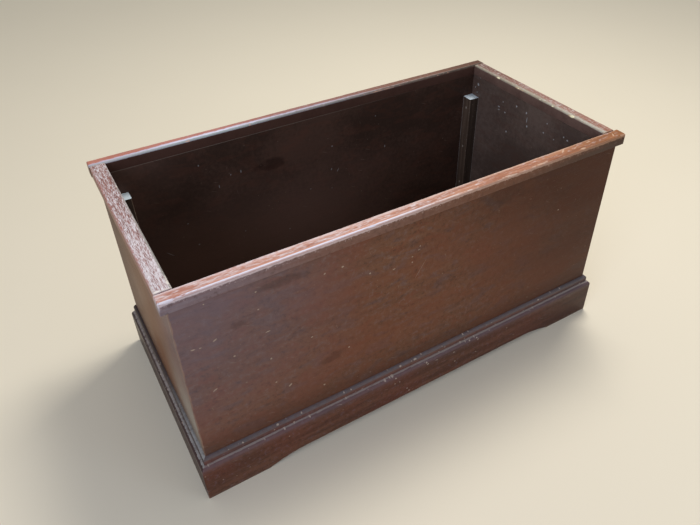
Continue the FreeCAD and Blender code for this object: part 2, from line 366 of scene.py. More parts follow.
innerMarks = {
    "back": [
        (-0.258, 0.392, 3, 5, 0), (-0.175, 0.353, 3, 8, 0), (0.036, 0.349, 4, 4, 0), (0.172, 0.309, 3, 7, 0),
        (0.147, 0.392, 3, 3, 0), (0.032, 0.292, 7, 3, 70), (0.048, 0.285, 12, 2, 60),
        (-0.349, 0.210, 24, 1.8, -45), (-0.197, 0.352, 3, 4, 0), (-0.224, 0.333, 2, 9, 0),
        (0.031, 0.243, 3, 3, 0), (-0.022, 0.258, 3, 3, 0), (-0.301, 0.269, 4, 3, 0),
        (-0.287, 0.210, 5, 4, 0), (-0.184, 0.205, 3, 3, 0), (-0.081, 0.171, 4, 3, 0),
    ],
    "right": [
        (0.181, 0.410, 8, 6, 60), (0.176, 0.428, 3, 3, 0), (0.183, 0.390, 4, 2, 60),
        (0.104, 0.385, 8, 3.5, 0), (0.103, 0.378, 7, 2, 0), (0.082, 0.379, 5, 4, 0), (0.048, 0.408, 4, 5, 0),
        (0.016, 0.405, 4, 6, 0), (0.012, 0.390, 2, 16, 0), (0.009, 0.376, 4, 6, 0), (0.070, 0.336, 5, 5, 0),
        (-0.041, 0.383, 4, 4, 0), (-0.065, 0.436, 6, 5, 30), (-0.072, 0.381, 4, 3, 0),
        (-0.097, 0.398, 4, 4, 0), (-0.108, 0.395, 5, 4, 0), (0.002, 0.440, 3, 3, 0), (0.092, 0.401, 3, 3, 0),
        (-0.047, 0.407, 3, 3, 0), (0.190, 0.400, 3, 3, 0),
    ],
}
outerStains = {
    "front": [(-0.345, 0.355, 34, 18, 0), (-0.270, 0.405, 110, 22, 0), (-0.195, 0.198, 60, 26, 10),
              (0.160, 0.408, 130, 50, 0)],
}
innerStains = {"back": [(-0.110, 0.349, 78, 32, 0)]}
stainSoft = 3


def wallFinish(side, seed):
    look, own = wallLook, wallSides[side]
    node = side + "_panel"
    lo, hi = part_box(node)
    along, outward = own["along"], own["outward"]
    through = 1 - along
    finish = Finish(node + "Finish", look)
    lay, mix, ramp, fade, axis = finish.lay, finish.mix, finish.ramp, finish.fade, finish.axis
    up = axis[2]
    middle, skin = (lo[through] + hi[through]) / 2, look["skin"] * outward
    outside = ramp(axis[through], middle - skin, middle + skin)
    inside = 1 - outside
    flatSockets = {0: axis[along] + outside * look["faceShift"], 1: up}
    flat = finish.add("ShaderNodeCombineXYZ", sockets=flatSockets)
    share = (axis[along] - lo[along]) / (hi[along] - lo[along])

    def zone(name):
        run, heights, strength = wallZones[name]
        return ramp(share, *run) * ramp(up, *heights) * strength

    fields = patterns(finish, along, seed, wallGrain, wallClouds)
    streak, fibre, blotch = fields["streak"], fields["fibre"], fields["blotch"]
    mottle, rub = fields["mottle"], fields["rub"]
    pores = ramp(fields["pores"], *look["porous"])

    finish.color = look["dark"]
    finish.layers(fields, wallLayers)
    # Painted light laid into the colour: a bluish sheen and a reflection of the floor towards the low end,
    # and an olive shade and reflection
    for name in ("paintedSheen", "haze", "paintedOlive"):
        if name in own:
            uneven = 0.4 + 1.2 * blotch if name == "paintedSheen" else 1.0
            lay(zone(name) * uneven * own[name], name)
    # Painted shade: the outer face darkens towards its high end and under the strip, less so low down
    deepShade = zone("deepShade") + zone("upperDeep") - zone("lowerPale")
    lay((deepShade * own["deepShade"]).atMost(look["deepMost"]), "deepShade")
    # Painted shade: the outer faces darken just above the plinth
    if side != "back":
        lay(fade("grime", up + (blotch - 0.5) * 0.05), "smudge")
    outer = finish.color
    innerTone = ramp(blotch + (fibre - 0.5) * 0.1 + (mottle - 0.5) * 0.6, 0.3, 0.7)
    innerLight, innerDark = own["inner"]
    finish.color = mix(innerTone, tone(*innerDark), tone(*innerLight))
    finish.layers(fields, innerLayers)
    # Painted light: the inside of the back wall is lightened low down towards its low end
    if "lift" in own:
        paintedLight = zone("paintedLight").atLeast(zone("paintedEndLight"))
        lay(paintedLight * own["lift"], "lifted")
    lay(outside, outer)
    for stains, face in ((outerStains, outside), (innerStains, inside)):
        if side in stains:
            stain = placedMarks(finish, along, stains[side], seed, stainSoft) * face
            lay(stain * own["stained"], "pore")
    lay(pores * 0.15, "pore")

    # Corners: varnish rubbed off the arris, and end grain of the long walls on the ends
    fromEnd = (axis[along] - lo[along]).atMost(hi[along] - axis[along])
    outerFace = hi[through] if outward > 0 else lo[through]
    corner = fromEnd.atLeast((axis[through] - outerFace) * -outward)
    lay(fade("endReach", fromEnd), "endGrain")
    lay(fade("arris", corner + (rub - 0.5) * look["arrisWander"]), "worn")

    spots = flecks(finish, flat, *look["spots"], seed)
    dust = flecks(finish, flat, *look["dustSpots"], seed + 11)
    lines = scratches(finish, flat, look["scratches"], seed)
    marks = spots.atLeast(dust).atLeast(lines * 0.7) * 0.45
    if side in outerMarks:
        marks = marks.atLeast(placedMarks(finish, along, outerMarks[side], seed) * outside)
    lay(marks * (0.3 + 0.5 * rub), "fleck")
    if side in innerMarks:
        specks = placedMarks(finish, along, innerMarks[side], seed) * inside * (0.3 + 1.2 * mottle)
        lay(specks * own["specks"], "speck")
    if "joint" in own:
        joint = fade("jointReach", hi.z - up - (rub - 0.5) * (0.8 * mm))
        lay(joint * inside * ramp(share, *look["jointRun"]) * own["joint"], "dust")
    lay(fade("rawReach", up - lo.z), "raw")

    roughness = look["gloss"] + (blotch - 0.5) * 0.2 + marks * 0.2 + inside * look["innerGloss"]
    height = fibre * 0.15 - pores * 0.4 - marks * 0.8 + streak * 0.2
    return finish.surface(roughness, height, own["specular"])


# Rim strips: bars whose top arrises are rubbed and chipped
rimBar = {
    "round": 2.5 * mm,
    "lowerRound": 0.6 * mm,
    "endRound": 1.4 * mm,
    "reach": 5 * mm,          # how far a chip eats in from an arris
    "rubDepth": 1.3 * mm,
    "inward": 0.6,            # share of the wear that goes down, and sideways
    "step": 2 * mm,
    "segments": 4,
    "hollows": 9,             # dips in the arris per metre: long ones, short ones and nibbles
    "dips": 70,
    "nibbles": 260,
}


def wornBar(name, node, chips, seed):
    own = rimBar
    lo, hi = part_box(node)
    size = hi - lo
    along = 0 if size.x > size.y else 1
    across = 1 - along
    bm = bmesh.new()
    bmesh.ops.create_cube(bm, size=1.0)
    bmesh.ops.scale(bm, vec=size, verts=bm.verts)
    bmesh.ops.translate(bm, vec=(lo + hi) / 2, verts=bm.verts)

    def level(edge, height):
        return all(abs(v.co.z - height) < 1e-6 for v in edge.verts)

    def lengthwise(edge):
        return abs(edge.verts[0].co[along] - edge.verts[1].co[along]) > size[along] / 2

    rounding = {"affect": "EDGES", "profile": 0.5, "material": -1, "offset_type": "OFFSET"}
    if along == 0:
        upright = [e for e in bm.edges if abs(e.verts[0].co.z - e.verts[1].co.z) > size.z / 2]
        bmesh.ops.bevel(bm, geom=upright, offset=own["endRound"], segments=3, **rounding)
    top = [e for e in bm.edges if level(e, hi.z) and (along == 0 or lengthwise(e))]
    bmesh.ops.bevel(bm, geom=top, offset=own["round"], segments=own["segments"], **rounding)
    low = [e for e in bm.edges if lengthwise(e) and level(e, lo.z)]
    bmesh.ops.bevel(bm, geom=low, offset=own["lowerRound"], segments=2, **rounding)

    # Extra rows where a chip ends
    sideways = Vector((0, 0, 0))
    sideways[across] = 1
    rows = [(Vector((0, 0, hi.z - own["reach"])), Vector((0, 0, 1)))]
    for edge in (lo[across] + own["reach"], hi[across] - own["reach"]):
        point = Vector((0, 0, 0))
        point[across] = edge
        rows.append((point, sideways))
    for point, normal in rows:
        everything = bm.verts[:] + bm.edges[:] + bm.faces[:]
        bmesh.ops.bisect_plane(bm, geom=everything, plane_co=point, plane_no=normal)
    long = [e for e in bm.edges if lengthwise(e)]
    bmesh.ops.subdivide_edges(bm, edges=long, cuts=int(size[along] / own["step"]), use_grid_fill=True)

    wear = bm.verts.layers.float.new("wear")
    for v in bm.verts:
        down = hi.z - v.co.z
        fromLow, fromHigh = v.co[across] - lo[across], hi[across] - v.co[across]
        side = -1 if fromLow < fromHigh else 1
        place = v.co[along] - lo[along]
        near = max(0.0, 1 - max(down, min(fromLow, fromHigh)) / own["reach"])
        hollow = noise.noise(Vector((place * own["hollows"], seed + side, 0)))
        dip = noise.noise(Vector((place * own["dips"], seed + side, 4)))
        nibble = noise.noise(Vector((place * own["nibbles"], seed + side, 8)))
        eaten = own["rubDepth"] * near * near * max(0.0, 0.45 + 0.7 * hollow + 0.35 * dip)
        eaten += own["rubDepth"] * near * max(0.0, nibble - 0.25)
        for at, chipSide, half, depth in chips:
            if chipSide == side:
                share = max(0.0, 1 - ((place - at) / half) ** 2)
                eaten += depth * near * share * (0.8 + 0.5 * nibble)
        v[wear] = min(1.0, eaten / mm)
        v.co.z -= eaten * own["inward"]
        v.co[across] -= side * eaten * own["inward"]
    return meshPiece(name, bm, [node])


# Finished mesh, riding on the one body and standing for its node
def meshPiece(name, bm, stoodFor, smoothUnder=40):
    mesh = bpy.data.meshes.new(name)
    for face in bm.faces:
        face.smooth = True
    bmesh.ops.recalc_face_normals(bm, faces=bm.faces)
    bm.to_mesh(mesh)
    bm.free()
    mesh.set_sharp_from_angle(angle=math.radians(smoothUnder))
    piece = bpy.data.objects.new(name, mesh)
    bpy.context.scene.collection.objects.link(piece)
    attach(piece, "root")
    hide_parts(*stoodFor)
    return piece


rimLook = {
    "stain": tone(66, 42, 34),
    "pore": tone(110, 62, 48),
    "red": tone(140, 86, 76),
    "haze": tone(178, 158, 152),
    "edge": tone(180, 118, 102),
    "spot": tone(238, 234, 202),
    "gloss": 0.40,
    "specular": 0.20,
    "bump": 0.3 * mm,
    "topGrain": (0.36, 0.62),
    "redAt": 2.4 * mm,        # middle and half width of the red line under the outer arris
    "redHalf": 1.0 * mm,
    "dotted": (0.57, 0.68),
    "shadeRun": (0.55, 1.0),
    "arrisFade": 3.4 * mm,
    # The bright outer line is a rubbed arris with a painted highlight
    "lineAt": 2.2 * mm,       # middle and half width of the bright outer line
    "lineHalf": 1.4 * mm,
    # Wear by distance from an edge or the top: where it starts, where it is full, and its strength
    "turn": (1.4 * mm, 3.2 * mm, 1.0),
    "innerSkin": (0.8 * mm, 1.2 * mm, 1.0),
    "rubbed": (7.2 * mm, 4.8 * mm, 0.85),
    "dots": (14 * mm, 4 * mm, 0.65),
    "lower": (8 * mm, 20 * mm, 1.0),
    "clear": (8.0 * mm, 5.5 * mm, 1.0),
    "redLine": (3.6 * mm, 1.6 * mm, 1.0),
    "outerArris": (1.8 * mm, 0.6 * mm, 1.0),
    "band": (-1.0 * mm, 3.0 * mm, 1.0),
    "tip": (2.0 * mm, 0.4 * mm, 0.85),
    "tipDown": (18 * mm, 5 * mm, 1.0),
}
rimGrain = {
    "fibre": (16, 420, 0, 3.0, 0.0),
    "streak": (9, 160, 2, 4.0, 0.4),
}
rimClouds = {
    "patch": ((22, 22, 22), 6, 3.0, 0.5),
    "rub": ((140, 140, 140), 8, 4.0, 0.6),
    "dots": ((300, 300, 300), 10, 2.0, 0.5),
}
rimTopLayers = (("fibre", 0.56, 0.72, 0.5, "pore"),)
rimFaceLayers = (
    ("streak", 0.40, 0.70, 0.30, "pore"),
    ("rub", 0.52, 0.72, 0.40, "stain"),
    ("rub", 0.46, 0.26, 0.14, "haze"),
)

# Each strip; a row of colours or numbers runs from its low to its high end, and the colour rows darken
# towards the far end partly as painted shade. Scuffs: speckle is how fine they are along and across, fine
# the share of the finer ones, soft their edges, clump how they gather, scuffed how many there are, cover how
# far they hide the stain. The pale band at the inner edge, worn and partly a painted highlight: its width in
# mm, how ragged and flaked it is. Arris is the greyed inner arris, line the bright outer line, a rubbed
# arris with a painted highlight, edge a reddish one, clear how far scuffs keep off the outer edge, shade the
# darker lower half of the outer face, painted shade. Spots are chips at the inner arris as (along, length
# and reach in mm), scrapes pale ones on the top as (along, mm from the outer edge, length and width in mm,
# tilt)
strips = {
    "front": {
        "top": ((196, 144, 128), (196, 144, 124), (182, 128, 100), (152, 100, 62)),
        "grain": ((176, 122, 108), (174, 120, 102), (154, 100, 76), (124, 78, 46)),
        # The face, rubbed and chip colours turn bluish grey at the low end as painted reflection, as on the
        # front wall
        "face": ((127, 113, 122), (124, 91, 79), (110, 70, 50), (64, 40, 26)),
        "rubbed": ((212, 196, 202), (214, 192, 190), (194, 160, 142), (166, 124, 96)),
        "chip": ((222, 220, 234), (226, 224, 240), (212, 188, 170), (186, 150, 124)),
        "inner": (70, 48, 42), "scuff": (228, 222, 228), "scrape": (216, 188, 164),
        "speckle": (100, 360), "fine": 0.62, "soft": 0.22, "clump": 0.10, "cover": 0.75,
        "scuffed": (0.84, 0.86, 0.58, 0.42),
        "band": (5.5, 8.0, 6.5, 3.5), "bandTone": ((226, 212, 218), (202, 168, 142)),
        "ragged": 0.8, "flaked": (0.7,),
        "line": (0.70, 1.30, 0.30, 0.1), "endWorn": (0.7, 0.35), "clear": 0.6, "shade": 0.7,
        "scrapes": [(0.303, 14.9, 15, 3, 35), (0.330, 11.2, 12, 2.5, 20), (0.341, 2.5, 14, 4, 0),
                    (0.367, 15, 10, 2.5, 0), (0.235, 2.6, 16, 3.5, 0), (0.250, 3.2, 8, 3, 0),
                    (0.428, 9, 12, 3, 60)],
    },
    "back": {
        "top": ((184, 120, 104), (180, 122, 114), (150, 108, 102), (128, 92, 78), (96, 64, 48)),
        "grain": ((170, 108, 92), (166, 110, 100), (138, 97, 90), (114, 80, 66), (86, 56, 42)),
        "face": ((112, 76, 62), (92, 60, 48)),
        "rubbed": ((150, 96, 76), (110, 70, 54)),
        "chip": ((204, 160, 142), (170, 130, 112)),
        "inner": (84, 60, 52), "scuff": (206, 196, 204),
        "speckle": (120, 480), "fine": 0.74, "soft": 0.14, "clump": 0.16, "cover": 0.75,
        "scuffed": (0.14, 0.24, 0.28, 0.20, 0.10),
        "band": (9.5, 11.5, 11.5, 9, 7), "ragged": 0.5, "flaked": (0.2, 0.2, 0.4, 0.8, 0.8),
        # Bluish white towards the low end, a painted highlight on the worn inner edge
        "bandTone": ((186, 188, 214), (216, 222, 248), (182, 182, 204), (154, 142, 142), (130, 114, 102)),
        "arris": (0.75, 0.85, 0.9, 0.9, 0.85), "arrisWidth": 6.4,
        "arrisTone": ((150, 156, 156), (126, 141, 140), (98, 98, 96), (62, 54, 48), (34, 26, 22)),
        "line": (-1,), "endWorn": (0.5, 0.2), "clear": 0.0,
    },
    "left": {
        "top": ((156, 122, 122), (147, 106, 102), (140, 100, 92)),
        "grain": ((130, 88, 84), (118, 76, 68), (114, 72, 64)),
        "face": ((127, 72, 52), (126, 71, 51)),
        "rubbed": ((160, 100, 84), (154, 96, 78)),
        "chip": ((228, 220, 214),),
        "inner": (84, 60, 52), "scuff": (228, 226, 233), "scrape": (246, 242, 236),
        "speckle": (120, 1050), "fine": 0.70, "soft": 0.16, "clump": 0.16, "cover": 0.85,
        "scuffed": (0.98, 0.78, 0.68),
        "band": (3.0, 1.5), "bandTone": ((216, 210, 216), (204, 194, 196)),
        "ragged": 1.0, "flaked": (0.75,),
        "arris": (0.9, 0.7, 0.4, 0.2), "arrisTone": ((126, 127, 120),), "arrisWidth": 5.0,
        "line": (-1,), "endWorn": (1.0, 0.3), "edge": 0.65, "clear": 0.0,
        "scrapes": [(-0.1885, 5, 5, 13, 0), (-0.177, 24, 9, 4, 0)],
    },
    "right": {
        "top": ((164, 119, 103), (150, 111, 100), (114, 82, 73)),
        "grain": ((140, 92, 74), (128, 86, 72), (106, 72, 60)),
        "face": ((100, 66, 54),),
        "rubbed": ((150, 100, 72), (120, 78, 58)),
        "chip": ((190, 164, 136),),
        # The inner face is lightened as painted light
        "inner": (132, 106, 96), "scuff": (198, 194, 192),
        "speckle": (120, 640), "fine": 0.72, "soft": 0.12, "clump": 0.20, "cover": 0.8,
        "scuffed": (0.54, 0.58, 0.46),
        "band": (9.5, 9.5, 8), "bandTone": ((178, 181, 172), (160, 159, 144), (146, 142, 128)),
        "ragged": 1.0, "flaked": (0.5,),
        "arris": (0.3, 0.4), "arrisTone": ((138, 136, 124), (122, 118, 106)), "arrisWidth": 5.0,
        "line": (-1,), "endWorn": (0.5, 0.4), "clear": 0.3,
        "spots": [(-0.106, 16, 4.5), (0.1176, 12, 3.5), (0.052, 8, 2.5), (-0.052, 7, 2.5), (-0.015, 6, 2)],
    },
}

# Chips in the arrises as (metres from the low end, side, half length, depth)
rimChips = {
    "front": [(0.012, -1, 14 * mm, 1.8 * mm), (0.335, -1, 9 * mm, 0.9 * mm), (0.62, -1, 12 * mm, 1.0 * mm),
              (0.895, -1, 9 * mm, 1.2 * mm)],
    "back": [(0.18, -1, 8 * mm, 0.9 * mm), (0.47, -1, 10 * mm, 0.8 * mm)],
    "left": [(0.02, 1, 12 * mm, 1.2 * mm), (0.012, -1, 10 * mm, 1.4 * mm), (0.30, 1, 14 * mm, 1.0 * mm)],
    "right": [(0.085, -1, 10 * mm, 1.6 * mm), (0.24, -1, 16 * mm, 1.2 * mm), (0.309, -1, 8 * mm, 1.2 * mm)],
}


def rimFinish(side, seed):
    look, own = rimLook, strips[side]
    node = side + "_rim_strip"
    lo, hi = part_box(node)
    along = 0 if side in ("front", "back") else 1
    across = 1 - along
    finish = Finish(node + "Finish", look)
    lay, mix, ramp, fade, axis = finish.lay, finish.mix, finish.ramp, finish.fade, finish.axis
    fromLow = axis[across] - lo[across]
    fromHigh = hi[across] - axis[across]
    innerFirst = side in ("back", "right")
    fromInner, fromOuter = (fromLow, fromHigh) if innerFirst else (fromHigh, fromLow)
    down = hi.z - axis[2]
    share = (axis[along] - lo[along]) / (hi[along] - lo[along])

    def parts(values):
        steps = len(values) - 1
        return [ramp(share, i / steps, (i + 1) / steps) for i in range(steps)]

    def grading(values):
        total = values[0]
        for part, low, high in zip(parts(values), values, values[1:]):
            total = part * (high - low) + total
        return total

    def graded(colors):
        color = tone(*colors[0])
        for part, after in zip(parts(colors), colors[1:]):
            color = mix(part, color, tone(*after))
        return color

    fields = patterns(finish, along, seed, rimGrain, rimClouds)
    patch, rub = fields["patch"], fields["rub"]
    lengthwise, crosswise = own["speckle"]
    hair = grainField(finish, along, lengthwise, crosswise, seed + 4, 4.0) * own["fine"]
    hair = hair + grainField(finish, along, lengthwise / 4, crosswise / 2, seed + 5, 4.0) * (1 - own["fine"])
    patchOff, rubOff, hairOff = patch - 0.5, rub - 0.5, hair - 0.5
    rubbed, chip = graded(own["rubbed"]), graded(own["chip"])

    # Faces under the top: the outer one as the walls, rubbed and dotted near its arris
    finish.color = graded(own["face"])
    finish.layers(fields, rimFaceLayers)
    lay(fade("rubbed", down + rubOff * (5 * mm)), rubbed)
    redTurn = (down - look["redAt"]) / look["redHalf"]
    redTurn = ramp(redTurn * redTurn + rubOff * 1.5, 1.0, 0.2)
    lay(redTurn * 0.35, "red")
    dotted = ramp(fields["dots"], *look["dotted"]) * fade("dots", down)
    lay(dotted, rubbed)
    if "shade" in own:
        lower = fade("lower", down) * ramp(share, *look["shadeRun"])
        lay(lower * own["shade"], "stain")
    innerTone = ramp(patch + rubOff * 0.5, 0.35, 0.75) * 0.35
    innerFace = mix(innerTone, tone(*own["inner"]), look["stain"])
    faces = mix(fade("innerSkin", fromInner), innerFace, finish.color)
    under = fade("turn", down + rubOff * (2 * mm))
    onTop = 1 - under
    grained = ramp(fields["streak"], *look["topGrain"])
    finish.color = mix(grained, graded(own["grain"]), graded(own["top"]))
    finish.layers(fields, rimTopLayers)
    lay(under, faces)

    # Scuffs along the grain, more of them towards both edges
    edgeward = (fromInner - fromOuter) / (hi[across] - lo[across])
    limit = 0.64 - 0.24 * grading(own["scuffed"]) - edgeward * edgeward * 0.03
    scuff = ramp(hair + patchOff * own["clump"] - limit, -0.01, own["soft"])
    scuff = scuff * onTop * (0.4 + rub) * (1 - fade("clear", fromOuter) * own["clear"])
    lay(scuff * own["cover"], tone(*own["scuff"]))
    if "edge" in own:
        redLine = fade("redLine", fromOuter + rubOff * (4 * mm) + hairOff * (8 * mm))
        lay(redLine * onTop * own["edge"], "edge")

    # The outer arris, broken by the grain, and at the inner edge the pale band, worn and partly a painted
    # highlight, and the greyed arris
    turned = fade("outerArris", fromOuter) * onTop * own["clear"]
    lay(turned, rubbed)
    dashes = ramp(hair + rubOff * 0.8, 0.52, 0.70)
    lay(turned * dashes * 0.6, chip)
    wander = rubOff * (10 * mm) + patchOff * (8 * mm) + hairOff * (24 * mm)
    # The pale band at the inner edge: wear, and partly a painted highlight
    band = fade("band", grading(own["band"]) * mm - fromInner - wander * own["ragged"]) * onTop
    whole = ramp(hair + rubOff * 0.5, 0.36, 0.58)
    band = band * (0.95 - grading(own["flaked"]) * (1 - whole))
    lay(band, graded(own["bandTone"]))
    if "arris" in own:
        width = own["arrisWidth"] * mm
        arris = ramp(fromInner + rubOff * (3 * mm), width, width - look["arrisFade"])
        lay(arris * grading(own["arris"]) * onTop, graded(own["arrisTone"]))

    # The bright outer line, a rubbed arris with a painted highlight, chips, rubbed ends, and single spots
    # and scrapes
    # Painted highlight along the rubbed outer arris
    shoulder = (fromOuter - look["lineAt"]) / look["lineHalf"]
    shoulder = shoulder * shoulder + rubOff * 1.2 + hairOff * 1.2
    kept = ramp(grading(own["line"]) + patchOff * 1.6 + rubOff + hairOff * 3, 0.35, 0.75)
    bright = ramp(shoulder, 1.1, 0.2) * kept * onTop
    wear = finish.add("ShaderNodeAttribute", {"attribute_name": "wear"}, output="Fac")
    chipped = ramp(wear + rubOff * 0.7, 0.56, 0.80)
    fromEnd = (axis[along] - lo[along]).atMost(hi[along] - axis[along])
    tip = fromEnd.atLeast(fromOuter if along == 0 else down) + rubOff * (6 * mm)
    tip = fade("tip", tip) * fade("tipDown", down) * grading(own["endWorn"])
    # The chip colour is laid for chips, rubbed ends and the painted highlight of the outer line
    lay(bright.atLeast(chipped * 0.7).atLeast(tip), chip)
    for at, length, reach in own.get("spots", ()):
        u = (axis[along] - at) / (length * mm / 2)
        v = fromInner.atLeast(down) / (reach * mm)
        spot = ramp(u * u + v * v + rubOff * 1.6, 1.0, 0.5)
        lay(spot * 0.9, "spot")
    for at, out, length, width, tilt in own.get("scrapes", ()):
        turn = math.radians(tilt)
        u, v = axis[along] - at, fromOuter - out * mm
        reach = (u * math.cos(turn) + v * math.sin(turn)) / (length * mm / 2)
        beside = (v * math.cos(turn) - u * math.sin(turn)) / (width * mm / 2)
        scrape = ramp(reach * reach + beside * beside + hairOff * 5, 1.2, 0.2) * onTop
        lay(scrape * 0.6, tone(*own["scrape"]))

    roughness = look["gloss"] + scuff * 0.15 + chipped * 0.25 + patchOff * 0.2
    height = fields["fibre"] * 0.4 + scuff * 0.3 - chipped * 0.4 + rub * 0.3
    return finish.surface(roughness, height, look["specular"])


# Plinth: moulded boards with a relief under the front one
plinthBoard = {
    "bead": 6 * mm,
    "beadDrop": 8.5 * mm,
    "ovolo": 7.5 * mm,
    "arcSteps": 7,
    "step": 2.5 * mm,
    "footLength": 115 * mm,
    "reliefHeight": 14 * mm,
    "reliefRound": 220 * mm,
    "reliefFade": 30 * mm,    # height at which the relief no longer lifts the face
    "edgeRound": 1 * mm,
    "cornerRub": 0.5 * mm,
    "cornerReach": 2 * mm,
    "nickDepth": 0.9 * mm,
    "nickReach": 3 * mm,
    "nickAt": 0.3,            # share of a round-over's height, down from its top
    "fullWear": 0.6 * mm,
    "smoothUnder": 32,
}


# Section as (distance out from the wall, height), from the foot at the back round to the top
def plinthSection(height):
    own = plinthBoard
    bead, ovolo, small = own["bead"], own["ovolo"], own["edgeRound"]
    thick = bead + ovolo
    beadFoot = height - bead
    ovoloFoot = beadFoot - own["beadDrop"] - ovolo
    section = [(0, 0), (thick - small, 0), (thick - 0.3 * small, 0.3 * small), (thick, small)]
    section += [(thick, 3 * small), (thick, ovoloFoot - 2 * small)]
    for radius, out, foot in ((ovolo, bead, ovoloFoot), (bead, 0, beadFoot)):
        for i in range(own["arcSteps"] + 1):
            turn = math.pi / 2 * i / own["arcSteps"]
            section.append((out + radius * math.cos(turn), foot + radius * math.sin(turn)))
    return section


# Height of the relief at a distance from the board's middle
def reliefAt(x, reach):
    own = plinthBoard
    radius, height = own["reliefRound"], own["reliefHeight"]
    rise = math.sqrt(height * (2 * radius - height))
    inside = reach - own["footLength"] - abs(x)
    if inside <= 0:
        return 0.0
    if inside >= rise:
        return height
    return math.sqrt(radius ** 2 - (rise - inside) ** 2) - (radius - height)


def mouldedBoard(name, node, seed):
    own = plinthBoard
    lo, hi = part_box(node)
    front = node == "front_plinth"
    along = 0 if front else 1
    outward = -1 if front or node == "left_plinth" else 1
    section = plinthSection(hi.z - lo.z)
    thick = own["bead"] + own["ovolo"]
    wallFace = hi[1 - along] if outward < 0 else lo[1 - along]
    length = hi[along] - lo[along]
    mid = (lo[along] + hi[along]) / 2
    steps = int(length / own["step"])
    ovoloTop = hi.z - own["bead"] - own["beadDrop"]
    shoulders = (hi.z - own["nickAt"] * own["bead"], ovoloTop - own["nickAt"] * own["ovolo"])

    bm = bmesh.new()
    ring = [bm.verts.new((0, out, z)) for out, z in section]
    edges = [bm.edges.new((a, b)) for a, b in zip(ring, ring[1:] + ring[:1])]
    sweep = {"cent": (0, 0, 0), "axis": (1, 0, 0), "angle": 0.0, "steps": steps}
    bmesh.ops.spin(bm, geom=ring + edges, dvec=(1 / steps, 0, 0), **sweep)
    rims = [e for e in bm.edges if e.is_boundary]
    bmesh.ops.edgeloop_fill(bm, edges=rims)

    wear = bm.verts.layers.float.new("wear")
    for v in bm.verts:
        share, out, z = v.co
        # Mitred ends reach further out at the face than at the wall
        start = lo[along] + thick - out
        end = hi[along] - thick + out if front else hi[along]
        place = start + (end - start) * share
        toMitre = min(place - start, end - place) if front else place - start
        lift = reliefAt(place - mid, length / 2) if front else 0.0
        z += lift * max(0.0, 1 - z / own["reliefFade"])
        # Nicks sit on the shoulder of each round-over
        curve = max(max(0.0, 1 - abs(z - s) / own["nickReach"]) for s in shoulders) if out > 0 else 0.0
        slow = noise.noise(Vector((place * 7, seed, z * 60)))
        tiny = noise.noise(Vector((place * 150, seed, z * 200)))
        eaten = own["nickDepth"] * curve * max(0.0, tiny + 0.4 * slow - 0.46) * 1.8
        eaten += own["cornerRub"] * max(0.0, 1 - toMitre / own["cornerReach"]) * max(0.0, 0.5 + slow)
        v[wear] = min(1.0, eaten / own["fullWear"])
        out = max(0.0, out - eaten) if out > 0 else out
        v.co.z = z - eaten * curve * 0.5
        v.co[along] = place
        v.co[1 - along] = wallFace + outward * out
    return meshPiece(name, bm, [node], own["smoothUnder"])


plinthLook = {
    "light": tone(107, 71, 55),
    "dark": tone(85, 54, 42),
    "red": tone(107, 58, 45),
    "smudge": tone(58, 37, 32),
    # Painted highlight on the bead's top
    "bead": tone(100, 100, 105),
    # Greyish tone for random mottling, also laid as painted sheen on the moulding
    "haze": tone(112, 99, 108),
    "lit": tone(160, 160, 160),
    # The pale line, a painted highlight on the rubbed round-over
    "line": tone(166, 156, 150),
    "pore": tone(44, 27, 23),
    "fleck": tone(196, 182, 168),
    "worn": tone(176, 158, 148),
    "scuff": tone(118, 96, 82),
    "gloss": 0.42,
    "beadGloss": 0.25,
    "specular": 0.15,
    "bump": 0.25 * mm,
    "porous": (0.60, 0.72),
    # Painted shade towards the high end
    "paintedEndShade": (0.70, 1.0, 0.75),
    "litRun": (0.60, 0.0),
    "spots": (38, 1.3 * mm, 0.28),
    "ridgeDots": (80, 1.4 * mm, 0.52),
    "scratches": ((12, 10, 14 * mm, 0.8 * mm, 0.05, 0),),
    "lineDrop": 0.2 * mm,     # of the pale line, under the top of the larger round-over
    # Changes by depth under the board's top: where each starts, where it is full, and its strength
    "moulded": (34 * mm, 18 * mm, 1.0),
    "beadTop": (6.5 * mm, 4.5 * mm, 1.0),
    "ridge": (3.5 * mm, 1.5 * mm, 1.0),
    "beadDots": (5 * mm, 3 * mm, 1.0),
}
plinthGrain = {
    "streak": (4, 60, 0, 4.0, 0.4),
    "fibre": (16, 460, 3, 2.0, 0.0),
    "pores": (40, 900, 5, 1.0, 0.0),
}
plinthClouds = {
    "blotch": ((6, 6, 9), 7, 3.0, 0.5),
    "rub": ((170, 170, 170), 9, 3.0, 0.6),
    "mottle": ((120, 120, 120), 8, 5.0, 0.65),
}
plinthLayers = (
    ("streak", 0.40, 0.62, 1.0, "light"),
    ("blotch", 0.42, 0.66, 0.5, "red"),
    ("mottle", 0.50, 0.72, 0.50, "smudge"),
    ("mottle", 0.48, 0.30, 0.38, "haze"),
)

